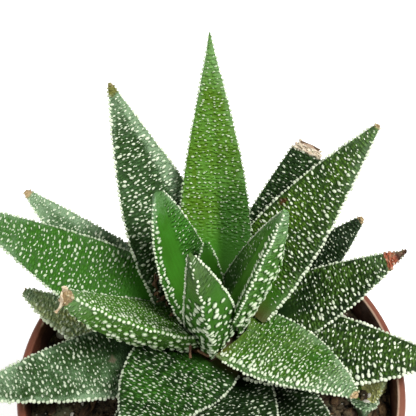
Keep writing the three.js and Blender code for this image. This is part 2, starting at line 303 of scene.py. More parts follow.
# From the heart outwards: name, azimuth, rise, length, width, height on the stem, the rest
LEAVES = (
    Leaf("heart", 105, 76, 30.5, 8, 98, thick=2.4, green="fresh", deep="leaf", base="leaf",
         frost=0.1, dots=0.6, pitch=1.35, bare=0.9, chalk=0.5, flecks=0, slot="young_leaf"),
    Leaf("inner_front", -130, 81, 49, 13, 97, thick=6.5, bow=-0.04, roll=40, keel=1.2,
         green="fern", deep="shade", base="leaf", frost=0.15, pitch=1.35, under=1.8,
         under_pitch=2.1, bare=0.7, below_end=0.72, brown=0.08, flecks=0.1, pits_and_shade=0.45,
         slot="young_leaf"),
    Leaf("inner_right", -2, 73, 62, 16.5, 94, thick=7.5, arch=-0.01, roll=4, root=-2,
         blunt=0.03, green="grass", deep="leaf", base="shade", frost=0.7, dots=0.85,
         pitch=1.35, under=2.1, under_pitch=1.85, panel=0.32, panel_at=0.3, coarse=0.6,
         shadow=-1, dusk=0.75, flecks=0.2, pits_and_shade=0.5, slot="young_leaf"),
    Leaf("inner_left", 143, 70, 46, 16.5, 102, taper=1, blunt=0.08, green="fresh", deep="leaf",
         base="shade", frost=0.75, dots=0.75, bare=0.15, panel=0.46, panel_at=-0.3,
         coarse=-0.5, shadow=0.9, dusk=0.7, flecks=0.1, pits_and_shade=0.3, slot="young_leaf"),
    Leaf("back_centre", 92, 56, 78, 18.5, 102, bow=0.008, taper=1.35, blunt=0.01,
         green="grass", deep="olive", base="fresh", frost=0.35, dots=0.75, pitch=1.65,
         bare=0.26, chalk=0.5, shadow=1.1, shadow_green="leaf", dusk=0.67, hoar=0.3,
         brown=0.17, pits_and_shade=0.3, crease=0.6, slot="young_leaf"),
    Leaf("front_left", 188, 34, 46, 18, 102, thick=8, roll=30, end=0.94, blunt=0.04, keel=1.3,
         green="grass", deep="grass", base="leaf", frost=0.4, dots=0.9, pitch=1.35, under=2.1,
         under_pitch=2.0, stretch=0.85, wander=0.25, bare=0.1, coarse=-0.4, below="grass",
         brown=0.06, flecks=0.7, dry=0.1),
    Leaf("front_right", -40, 17, 45, 19.5, 102, bow=-0.055, green="olive", deep="leaf",
         base="olive", frost=0.7, dots=0.9, pitch=1.4, bare=0.12, coarse=0.7, haze=0.3,
         flecks=0.8, dry=0.03),
    Leaf("back_right", 38, 42, 70, 21, 99, bow=-0.03, taper=1.3, green="olive", deep="shade",
         base="leaf", frost=0.25, dots=1.15, pitch=1.7, bare=0.24, hoar=0.35, brown=0.16,
         flecks=0.3, scar=0.52, dry=0.018),
    Leaf("back_left", 124, 50, 73, 23, 98, taper=1.35, blunt=0.04, deep="shade", frost=0.8,
         dots=1.05, pitch=1.55, bare=0.1, chalk=0.75, hoar=1.0, flecks=0.6, dry=0.05,
         dead="#66682f"),
    Leaf("front", -119, 20, 46, 27, 97, bow=0.04, taper=1.4, green="leaf", frost=0.2,
         pitch=1.6, bare=0.18, chalk=0.55, flecks=0.6),
    Leaf("left_long", 167, 30, 74, 22.5, 98, thick=4, roll=-8, blunt=0.03, green="leaf",
         deep="leaf", base="fresh", frost=0.55, dots=1.05, pitch=1.7, bare=0.3, chalk=0.6,
         haze=0.1, brown=0.17, flecks=0.5, dry=0.015),
    Leaf("right_long", -12, 6, 61, 25, 98, blunt=0.03, green="fern", frost=0.1, dots=1.25,
         pitch=1.75, bare=0.25, coarse=0.3, chalk=0.88),
    Leaf("back_right_cut", 57, 38, 70, 16.5, 95, end=0.81, taper=1, blunt=0.04, green="shade",
         frost=0.1, dots=0.95, pitch=1.6, bare=0.1, chalk=0.6, flecks=0.2),
    Leaf("lower_left", -158, 13, 72, 22, 93, bow=0.03, blunt=0.01, deep="shade", frost=1.0,
         dots=1.1, pitch=1.55, bare=0.34, chalk=0.6, haze=0.3, flecks=0.5, scar=0.37,
         scar_at=0.05, scab="#6b6350", slot="old_leaf"),
    Leaf("right_dry_tip", 12, 28, 56, 19.5, 94, green="fern", dots=1.05, pitch=1.7, bare=0.35,
         coarse=0.3, flecks=0.3, dry=0.1, dead="#9c553d", withered=0.12, slot="old_leaf"),
    Leaf("front_lower", -77, 16, 52, 22, 92, green="shade", dots=0.95, pitch=1.6, bare=0.25,
         chalk=0.65, flecks=0.5, slot="old_leaf"),
    Leaf("back_small", 151, 29, 66, 18.5, 92, thick=4.5, deep="moss", frost=0.9, pitch=1.6,
         chalk=0.7, hoar=0.5, haze=0.1, flecks=0.7, dry=0.03, slot="old_leaf"),
    Leaf("right_dark", 32, 28, 53, 18, 91, thick=4.5, green="night", frost=0.1, dots=0.75,
         pitch=1.4, chalk=0.6, flecks=0.3, dry=0.03, slot="old_leaf"),
    Leaf("front_lower_right", -49, 12, 50, 22, 90, thick=4.5, green="shade", frost=0.5,
         dots=0.9, bare=0.25, chalk=0.65, flecks=0.5, slot="old_leaf"),
    Leaf("left_small", 170, 15, 54, 18, 90, thick=4.5, bow=-0.065, blunt=0.07, green="bloom",
         deep="lime", base="moss", frost=0.7, dots=1.35, pitch=1.8, haze=0.35, dry=0.01,
         slot="old_leaf"),
    Leaf("front_lower_left", -130, 4, 46, 18, 91, thick=4, green="shade", frost=0.2, dots=0.9,
         slot="old_leaf"),
    Leaf("low_back", 98, 16, 46, 17, 90, thick=4, dry=0.03, slot="old_leaf"),
    Leaf("low_back_left", 120, 12, 43, 17, 89, thick=4, dry=0.03, slot="old_leaf"),
    Leaf("low_back_right", 72, 14, 38, 15, 90, thick=4, dry=0.03, slot="old_leaf"),
)

OFFSET = dict(x=42.5, y=-0.5, root=-1, foot=0, thick=4, dots=0.7, pitch=1.35, bare=0.3,
              chalk=0.5, frost=0.8, brown=-0.2, flecks=0.3)
OFFSET_LEAVES = (
    Leaf("offset_left", 130, 28, 12, 8, 83, green="bloom", deep="moss", base="olive",
         **OFFSET),
    Leaf("offset_right", 15, 48, 9, 6.5, 83, green="lime", deep="lime", base="lime", **OFFSET),
    Leaf("offset_front", -100, 34, 10, 7, 83, green="bloom", deep="moss", base="olive",
         **OFFSET),
)

# The largest chips of bark on the soil: place and size
LARGE_CHIPS = (
    (39.6, -5.2, 2.7), (34.5, -2.2, 1.9), (36.4, -8.6, 2.3), (31.2, -6.4, 1.7),
    (44.6, -7.4, 1.8), (37.4, 1.4, 1.6), (-34.6, -5.6, 1.9), (-30.4, -8.4, 1.6),
)

# Dry strips of dead leaf feet: place, turn and lean of each, then its length and width
FIBRES = (
    (-16, 18.5, 109, 150, 35, 8, 1.3),
    (-15, 17, 108.5, 60, 30, 7, 1.1),
    (-14.3, 17.5, 108, 250, 20, 6, 0.9),
    (-13.5, 16, 107, 120, 40, 8, 1.3),
    (-12.5, 16.5, 106.5, 20, 30, 6, 1.0),
    (-12, 15.5, 105.5, 200, 35, 7, 1.2),
    (-11, 12.5, 105, 90, 40, 7, 1.1),
    (-9.5, 10.5, 104, 160, 30, 6, 1.2),
    (-8, 9, 103, 40, 40, 5, 1.1),
    (-5.5, 1, 103, 210, 40, 4, 1.0),
    (-1, 1.5, 102.5, 300, 40, 4, 1.0),
)
# The torn skin at the end of the front left leaf, in the same way
FLAPS = (
    (-37, 5.2, 126, 20, 165, 5.5, 2.6),
    (-36.5, 7, 127, 60, 175, 4, 1.8),
)

# Lamps, in metres: name, place, width and share of the key light's power
LAMPS = (
    ("key", (0.3, -0.12, 0.72), 0.3, 1.0),
    ("fill", (-0.5, -0.25, 0.5), 0.5, 0.25),
)
LAMP_AIM = (0, 0.01, 0.1)
FLOOR_REACH = 3
FLOOR_GLOW = 0.6
# The camera's place in metres, its tilt up from straight down, its lens and its film in mm
CAMERA_PLACE = (-0.0009, -0.12557, 0.33005)
CAMERA_TILT = 37.8
CAMERA_LENS = 84.46
CAMERA_SENSOR = 36


def colour_property(name, description, code):
    """A colour that the user can change."""
    return bpy.props.FloatVectorProperty(
        name=name, description=description, subtype="COLOR", default=srgb(code)[:3], min=0,
        max=1)


def count_property(name, description, default, most):
    """How many of a thing there are, which the user can change."""
    return bpy.props.IntProperty(
        name=name, description=description, default=default, min=0, max=most)


class PotSettings(bpy.types.PropertyGroup):
    plastic: colour_property("Plastic", "Colour of the pot", "#724132")
    # The rim edge colour stands for scuffs and for a painted highlight on the edge
    edge: colour_property("Rim edge", "Colour of the scuffed inner edge of the rim", "#d8bfa6")
    rounding: bpy.props.FloatProperty(
        name="Edge rounding", description="Radius of the moulded edges", default=0.0005,
        min=0.0001, max=0.001, subtype="DISTANCE", unit="LENGTH")
    steps: bpy.props.IntProperty(
        name="Steps", description="Sides of the turned shapes", default=160, min=24, max=256)


class SoilSettings(bpy.types.PropertyGroup):
    peat: colour_property("Peat", "Colour of dry peat", "#665840")
    crumbs: count_property("Crumbs", "How many crumbs of peat lie on the soil", 1700, 4000)
    bark: count_property("Bark", "How many chips of bark lie on the soil", 120, 400)
    perlite: count_property("Perlite", "How many grains of perlite lie on it", 220, 400)


class LeafSettings(bpy.types.PropertyGroup):
    tubercles: bpy.props.FloatProperty(
        name="Tubercle size", description="Size of the tubercles against the usual one",
        default=1.0, min=0.3, max=2.0, subtype="FACTOR")
    rows_per_cm: bpy.props.FloatProperty(
        name="Rows per cm", description="Rows of faces along a leaf, to the centimetre",
        default=8, min=2, max=12)
    columns: bpy.props.IntProperty(
        name="Columns", description="Faces across each side of a leaf", default=14, min=4,
        max=24)


class LeafColours(bpy.types.PropertyGroup):
    fresh: colour_property("Fresh green", "Green of smooth young skin", "#3b7b1e")
    grass: colour_property("Grass green", "Green of the upright young leaves", "#54862c")
    leaf: colour_property("Leaf green", "Green of the grown leaves", "#366a18")
    olive: colour_property("Olive green", "Green of grown leaves in strong light", "#4c710a")
    fern: colour_property("Fern green", "Green of grown leaves in half shade", "#486c20")
    moss: colour_property("Moss green", "Green of the old leaves", "#406236")
    shade: colour_property("Shade green", "Green of the lowest leaves", "#274417")
    night: colour_property("Dark green", "Green of shaded leaves and feet", "#12280b")
    lime: colour_property("Lime green", "Yellow-green of the offset's tip", "#cfd183")
    bloom: colour_property("Bloom", "Grey-green of the waxy bloom", "#8fab86")
    pearl: colour_property("Tubercles", "White of the tubercles", "#e2ebd0")
    dry: colour_property("Dry tips", "Beige of dry leaf tips", "#bca683")


class StageSettings(bpy.types.PropertyGroup):
    floor: colour_property("Floor", "Colour of the floor", "#f4f4f2")
    key: bpy.props.FloatProperty(
        name="Key light", description="Power of the large light", default=6.8, min=0,
        max=100, unit="POWER")
    sky: bpy.props.FloatProperty(
        name="Surrounding light", description="Strength of the light from all round",
        default=0.25, min=0, max=5)


def operation(kind, swapped=False):
    """A method of Value that adds a Math node of a kind."""
    def method(self, other=0.0):
        first, second = (other, self) if swapped else (self, other)
        return self.finish.node("ShaderNodeMath", {"operation": kind}, {0: first, 1: second})
    return method


class Value:
    """An output of a material's node. Arithmetic on it adds Math nodes."""

    def __init__(self, finish, socket):
        self.finish = finish
        self.socket = socket

    __add__ = __radd__ = operation("ADD")
    __sub__ = operation("SUBTRACT")
    __rsub__ = operation("SUBTRACT", swapped=True)
    __mul__ = __rmul__ = operation("MULTIPLY")
    __pow__ = operation("POWER")
    __gt__ = operation("GREATER_THAN")
    __lt__ = operation("LESS_THAN")
    __abs__ = operation("ABSOLUTE")


class Finish:
    """A material on its way: its nodes, and the constants of its shader."""

    def __init__(self, name, **constants):
        self.material = bpy.data.materials.new(name)
        self.material.use_nodes = True
        self.nodes = self.material.node_tree.nodes
        self.links = self.material.node_tree.links
        self.shader = self.nodes["Principled BSDF"]
        for socket, value in constants.items():
            self.shader.inputs[socket.replace("_", " ")].default_value = value

    def node(self, kind, settings=None, inputs=None, out=0):
        """A node's output. inputs holds its sockets' values, or what they are linked to."""
        node = self.nodes.new(kind)
        for key, value in (settings or {}).items():
            if key == "stops":
                ramp = node.color_ramp.elements
                for element, (place, colour) in zip((ramp[0], ramp[1]), (value[0], value[-1])):
                    element.position, element.color = place, colour
                for place, colour in value[1:-1]:
                    ramp.new(place).color = colour
            else:
                setattr(node, key, value)
        for key, value in (inputs or {}).items():
            if isinstance(value, Value):
                self.links.new(value.socket, node.inputs[key])
            else:
                node.inputs[key].default_value = value
        return Value(self, node.outputs[out])

    def set(self, socket, value):
        """Links a value to one of the shader's sockets."""
        self.links.new(value.socket, self.shader.inputs[socket])

    def place(self):
        """Object coordinates, in metres."""
        return self.node("ShaderNodeTexCoord", out="Object")

    def stretch(self, vector, factors):
        settings = {"operation": "MULTIPLY"}
        return self.node("ShaderNodeVectorMath", settings, {0: vector, 1: factors})

    def part(self, vector, axis):
        return self.node("ShaderNodeSeparateXYZ", inputs={0: vector}, out=axis)

    def noise(self, vector, scale, detail=3.0, roughness=0.55, kind="3D"):
        inputs = {"Vector": vector, "Scale": scale, "Detail": detail, "Roughness": roughness}
        return self.node("ShaderNodeTexNoise", {"noise_dimensions": kind}, inputs)

    def cells(self, vector, scale, out="Distance", kind="3D"):
        inputs = {"Vector": vector, "Scale": scale}
        return self.node("ShaderNodeTexVoronoi", {"voronoi_dimensions": kind}, inputs, out)

    def step(self, value, low, high):
        """A smooth step from 0 at low to 1 at high."""
        inputs = {"Value": value, "From Min": low, "From Max": high}
        return self.node("ShaderNodeMapRange", {"interpolation_type": "SMOOTHSTEP"}, inputs)

    def mix(self, share, first, second):
        inputs = {0: share, 6: first, 7: second}
        return self.node("ShaderNodeMix", {"data_type": "RGBA"}, inputs, 2)

    def shaded(self, colour, roughness, height, distance, strength=1.0):
        """The finish itself, once its colour, roughness and bump are in place."""
        self.set("Base Color", colour)
        self.set("Roughness", roughness)
        inputs = {"Height": height, "Distance": distance, "Strength": strength}
        self.set("Normal", self.node("ShaderNodeBump", inputs=inputs))
        return self


def mesh_of(name, bm):
    """A mesh with all that a bmesh holds. The bmesh is freed."""
    mesh = bpy.data.meshes.new(name)
    bm.to_mesh(mesh)
    bm.free()
    return mesh


def in_scene(name, data):
    """A new object that shows a mesh, lamp or camera in the scene."""
    item = bpy.data.objects.new(name, data)
    bpy.context.scene.collection.objects.link(item)
    return item


def make_piece(name, bm, finishes, slot, *nodes, sharp=50):
    """Turns a bmesh into a piece that rides on the plant and stands for CAD nodes."""
    for face in bm.faces:
        face.smooth = True
    limit = math.radians(sharp)
    for edge in bm.edges:
        if edge.calc_face_angle(0) > limit:
            edge.smooth = False
    mesh = mesh_of(name, bm)
    for finish in finishes if isinstance(finishes, list) else [finishes]:
        mesh.materials.append(finish.material)
    piece = in_scene(name, mesh)
    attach(piece, "root")
    if nodes:
        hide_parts(*nodes)
    return piece


def turned(bm, outline, steps, centre=(0, 0), rounding=0.0):
    """Spins an outline of radius and height round the vertical, with its corners rounded."""
    verts = [bm.verts.new((r * MM, 0, z * MM)) for r, z in outline]
    edges = [bm.edges.new(pair) for pair in zip(verts, verts[1:])]
    if rounding:
        bmesh.ops.bevel(bm, geom=verts[1:-1] + edges, offset=rounding, offset_type="OFFSET",
                        segments=3, profile=0.5, affect="VERTICES", material=-1)
    geom = bm.verts[:] + bm.edges[:]
    bmesh.ops.spin(bm, geom=geom, cent=(0, 0, 0), axis=(0, 0, 1), angle=2 * math.pi,
                   steps=steps, use_merge=True, use_duplicate=False)
    bmesh.ops.remove_doubles(bm, verts=bm.verts, dist=1e-6)
    bmesh.ops.recalc_face_normals(bm, faces=bm.faces)
    bmesh.ops.translate(bm, verts=bm.verts, vec=(centre[0] * MM, centre[1] * MM, 0))


def cutter(name, bm):
    """A hidden object that other pieces are trimmed with."""
    return bpy.data.objects.new(name, mesh_of(name, bm))


def stem_room(name):
    """The stem grown by its gap, to trim other pieces with."""
    bm = bmesh.new()
    outline = [(r + GAP * (r > 0), z) for r, z in STEM_OUTLINE]
    turned(bm, outline, HOLE_SIDES, centre=(STEM_X, STEM_Y))
    return cutter(name, bm)


def box_of(verts):
    """The lowest and highest of the vertices' places along each axis."""
    points = [v.co for v in verts]
    return [(min(p[i] for p in points), max(p[i] for p in points)) for i in range(3)]


def overlapping(first, second):
    """Whether two boxes share some room."""
    return all(a[0] < b[1] and b[0] < a[1] for a, b in zip(first, second))


def trimmed(bm, tools):
    """The bmesh less the tools' shapes, as a bmesh. Only its largest body is kept."""
    body = cutter("uncut", bm)
    collection = bpy.context.scene.collection
    reach = box_of(body.data.vertices)
    used = [tool for tool in tools if overlapping(reach, box_of(tool.data.vertices))]
    for shape in [body, *used]:
        collection.objects.link(shape)
    for tool in used:
        cut = body.modifiers.new(tool.name, "BOOLEAN")
        cut.operation = "DIFFERENCE"
        cut.solver = "MANIFOLD"
        cut.object = tool
    graph = bpy.context.evaluated_depsgraph_get()
    result = bmesh.new()
    result.from_object(body, graph)
    for shape in [body, *used]:
        collection.objects.unlink(shape)
    bpy.data.objects.remove(body)
    bmesh.ops.remove_doubles(result, verts=result.verts, dist=1e-7)
    islands = islands_of(result)
    largest = max(islands, key=len)
    spare = [vert for island in islands if island is not largest for vert in island]
    bmesh.ops.delete(result, geom=spare, context="VERTS")
    if not result.faces:
        raise RuntimeError("a trim left nothing")
    return result


def islands_of(bm):
    """The vertices of each joined-up body of a bmesh."""
    islands, seen = [], set()
    for start in bm.verts:
        if start in seen:
            continue
        seen.add(start)
        island, queue = [], [start]
        while queue:
            vert = queue.pop()
            island.append(vert)
            for edge in vert.link_edges:
                other = edge.other_vert(vert)
                if other not in seen:
                    seen.add(other)
                    queue.append(other)
        islands.append(island)
    return islands


def stations(columns):
    """The places round a leaf's section as (across, tilt): above, a margin, below and back."""
    over = [(1 - 2 * j / columns, 90) for j in range(columns + 1)]
    under = [(2 * j / columns - 1, -90) for j in range(columns + 1)]
    left, right = ([(x, MARGIN_TILT), (x, -MARGIN_TILT)] for x in (-1, 1))
    return [*over, *left, *under, *reversed(right), over[0]]


def leaf_bmesh(leaf, rows, columns, grow=0.0):
    """A leaf's closed skin, with UV maps Place, of across and t, and Skin, of its size."""
    bm = bmesh.new()
    ring = stations(columns)
    around = len(ring) - 1
    bmesh.ops.create_grid(bm, x_segments=around, y_segments=rows, size=1)
    place_map = bm.loops.layers.uv.new("Place")
    skin_map = bm.loops.layers.uv.new("Skin")
    start = (leaf.foot - grow) / leaf.length
    end = min(leaf.end + grow / leaf.length, LEAF_LIMIT)
    cell = {}
    for vert in bm.verts:
        i = round((vert.co.x + 1) / 2 * around)
        cell[vert] = (i, start + (end - start) * (vert.co.y + 1) / 2)
    for face in bm.faces:
        under = all(ring[cell[v][0]][1] == -90 for v in face.verts)
        for loop in face.loops:
            i, t = cell[loop.vert]
            across = ring[i][0]
            loop[place_map].uv = (across + UNDERSIDE * under, t)
            loop[skin_map].uv = skin_place(leaf, t, across, under)
    for vert, (i, t) in cell.items():
        across, tilt = ring[i]
        vert.co = leaf.skin(t, across, tilt, grow) * MM
    row_of = {t: {} for _, t in cell.values()}
    for vert, (i, t) in cell.items():
        row_of[t][i] = vert
    seam = {row[around]: row[0] for row in row_of.values()}
    bmesh.ops.weld_verts(bm, targetmap=seam)
    rim = [edge for edge in bm.edges if edge.is_boundary]
    caps = bmesh.ops.edgeloop_fill(bm, edges=rim)["faces"]
    tip = leaf.skin(end, 0, 90) * MM
    for cap in caps:
        at_tip = (cap.calc_center_median() - tip).length < 0.2 * leaf.length * MM
        for loop in cap.loops:
            loop[place_map].uv = (0, end if at_tip else start)
            loop[skin_map].uv = (SKIN_ENDS, leaf.length * 0.01 if at_tip else 0)
    if leaf.cut and not grow:
        hollow_cap(bm, min(caps, key=lambda cap: (cap.calc_center_median() - tip).length))
    bmesh.ops.recalc_face_normals(bm, faces=bm.faces)
    return bm


def hollow_cap(bm, cap):
    """Dishes the end of a cut leaf inside a rounded callus."""
    for width, depth in ((0.0003, 0.0003), (0.0003, -0.0002), (0.0004, -0.0007)):
        bmesh.ops.inset_region(bm, faces=[cap], thickness=width, depth=depth,
                               use_even_offset=False)
    bmesh.ops.poke(bm, faces=[cap])


def skin_place(leaf, t, across, under):
    """Where a point lies on the unrolled skin, in tenths of a metre."""
    reach = across * leaf.half_width(t) / 100
    return (reach + (SKIN_BELOW if under else SKIN_ABOVE), t * leaf.length / 100)


def tubercle_rows(leaf, chance, pitch, first, reach):
    """Staggered rows across one side of a leaf, a pitch apart and a little out of line."""
    t, row = first, 0
    while t < LAST_ROW:
        half = leaf.half_width(t)
        count = max(1, round(2 * half * reach / pitch))
        shift = 0.25 if row % 2 else -0.25
        sway = chance.uniform(0, 6)
        for k in range(count):
            across = ((k + 0.5 + shift) / count * 2 - 1) * reach
            along = 0.18 * math.sin(3 * across + sway) + chance.uniform(-0.16, 0.16)
            across += chance.uniform(-0.3, 0.3) * pitch / max(half, 1)
            yield min(LAST_ROW, t + along * pitch / leaf.length), across
        t += pitch * ROW_SPACING / leaf.length
        row += 1


def upper_tubercles(leaf, chance):
    """Rows on the upper side, with gaps at the smooth foot and panel, and few in the shade."""
    for t, across in tubercle_rows(leaf, chance, leaf.pitch, leaf.bare * 0.8, 0.92):
        size = chance.betavariate(1.3, 2.8)
        smooth = leaf.bare + 0.06 - abs(across) * 0.14
        off_panel = not leaf.panel or abs(across - leaf.panel_at) > leaf.panel
        shaded = across * leaf.shadow > 0.1 and leaf.shadow_green == "shade"
        rare = 0.45 if shaded else 0.06
        if t > smooth and off_panel and abs(across) < 0.94 and chance.random() > rare:
            grown = min(1, 0.5 + 3 * (1 - t)) * min(1, 0.55 + 3 * (t - smooth))
            grown *= max(0.6, 1 + leaf.coarse * across) * (0.85 + 0.35 * abs(across))
            radius = (0.17 + 0.38 * size) * leaf.dots * grown
            wide = chance.uniform(1.2, 1.7) + 0.9 * (1 - size)
            yield t, across, 90, radius, wide


def margin_tubercles(leaf, chance):
    """A close row round each margin, and a second one inside a coarse margin."""
    for side in (-1, 1):
        t = 0.14
        while t < 0.985:
            swell = min(1, 0.6 + 3 * (1 - t)) * max(0.85, leaf.dots)
            yield t, side, chance.uniform(-20, 40), swell * chance.uniform(0.38, 0.58), 1.0
            t += chance.uniform(0.85, 1.3) / leaf.length
        t = leaf.bare * 0.6
        while side * leaf.coarse > 0.45 and t < 0.93:
            swell = min(1, 0.5 + 1.5 * (1 - t)) * chance.uniform(0.4, 0.68)
            yield t, side * chance.uniform(0.84, 0.93), 90, swell, chance.uniform(0.9, 1.5)
            t += chance.uniform(1.1, 1.8) / leaf.length


def under_tubercles(leaf, chance):
    """Large ones in rows below, and one line of them along a sharp keel."""
    for t, across in tubercle_rows(leaf, chance, leaf.under_pitch, 0.1, 0.93):
        if abs(across) < 0.95 and t < leaf.below_end and chance.random() > 0.08:
            grown = min(1, 0.35 + 1.6 * (1 - t)) * leaf.under
            radius = (0.26 + 0.42 * chance.betavariate(1.5, 2.8)) * leaf.dots * grown
            yield t, across, -90, radius, chance.uniform(1.0, 1.6) * leaf.stretch
    if leaf.keel < 1.5:
        t = 0.12
        while t < 0.97:
            radius = chance.uniform(0.4, 0.55) + 0.45 * (1 - t)
            yield t, chance.uniform(-leaf.wander, leaf.wander), -90, radius, 1.0
            t += (chance.uniform(1.3, 2.1) + leaf.wander * 2) * radius / leaf.length


def tubercle_places(leaf, chance):
    """A leaf's tubercles as (t, across, tilt, radius in mm, stretch across the leaf)."""
    for places in (upper_tubercles, margin_tubercles, under_tubercles):
        yield from places(leaf, chance)


def skin_normal(leaf, t, across, tilt):
    """The skin's outward direction at a place, and the direction along the leaf there."""
    here = leaf.skin(t, across, tilt)
    along = leaf.skin(min(t + 0.01, LEAF_LIMIT), across, tilt)
    along -= leaf.skin(t - 0.01, across, tilt)
    if abs(across) > 0.98:
        _, tangent, normal, side = leaf.axes(t)
        turn = math.radians(tilt)
        outward = side * math.copysign(math.cos(turn), across) + normal * math.sin(turn)
        return here, outward, tangent
    sideways = leaf.skin(t, across + 0.03, tilt) - leaf.skin(t, across - 0.03, tilt)
    outward = along.cross(sideways)
    if outward.dot(leaf.axes(t)[2]) * tilt < 0:
        outward.negate()
    return here, outward.normalized(), along.normalized()


def bead_mesh(sides):
    """A small dome bedded in the skin. Its attribute lift is 0 at its foot and 1 on top."""
    bm = bmesh.new()
    bm.loops.layers.uv.new("Place")
    bm.loops.layers.uv.new("Skin")
    bmesh.ops.create_uvsphere(bm, u_segments=sides, v_segments=4, radius=1)
    low = [vert for vert in bm.verts if vert.co.z < -0.1]
    bmesh.ops.pointmerge(bm, verts=low, merge_co=(0, 0, -0.5))
    lift = bm.verts.layers.float.new("lift")
    for vert in bm.verts:
        vert[lift] = max(0, vert.co.z)
    return mesh_of("bead", bm)


def add_tubercles(bm, leaf, share, chance):
    """Adds a dome at each of a leaf's tubercle places that the trims left."""
    tree = BVHTree.FromBMesh(bm)
    small, large = (bead_mesh(sides) for sides in BEAD_SIDES)
    bm.verts.layers.float.new("lift")
    mesh = bpy.data.meshes.new("beads")
    batch = bmesh.new()
    for t, across, tilt, radius, stretch in tubercle_places(leaf, chance):
        here, outward, along = skin_normal(leaf, t, across, tilt)
        here = here * MM
        hit = tree.find_nearest(here)
        if hit[0] is None or hit[3] > SKIN_REACH * MM:
            continue
        sideways = along.cross(outward).normalized()
        along = outward.cross(sideways)
        wide = radius * share * MM
        tall = wide * (0.95 if abs(across) < 1 else 1.15)
        spread = Matrix.Diagonal((wide * stretch, wide, tall, 1))
        turn = Matrix((sideways, along, outward)).transposed().to_4x4()
        turn = turn @ Matrix.Rotation(chance.uniform(-0.4, 0.4), 4, "Z")
        first = len(batch.verts)
        batch.from_mesh(small if radius < LARGE_BEAD else large)
        batch.verts.ensure_lookup_table()
        new = batch.verts[first:]
        matrix = Matrix.Translation(here) @ turn @ spread
        bmesh.ops.transform(batch, matrix=matrix, verts=new)
        under = tilt < -45
        spot = skin_place(leaf, t, across, under)
        place_map = batch.loops.layers.uv["Place"]
        skin_map = batch.loops.layers.uv["Skin"]
        lift = batch.verts.layers.float["lift"]
        for vert in new:
            if abs(across) == 1:
                vert[lift] = 0.75 + 0.25 * vert[lift]
            vert.co = here + (vert.co - here) * (1 + 0.28 * noise.noise(vert.co * 2300))
            for loop in vert.link_loops:
                loop[place_map].uv = (across + UNDERSIDE * under, t)
                loop[skin_map].uv = spot
        if first > BATCH:
            batch.to_mesh(mesh)
            bm.from_mesh(mesh)
            batch.free()
            batch = bmesh.new()
    batch.to_mesh(mesh)
    bm.from_mesh(mesh)
    batch.free()


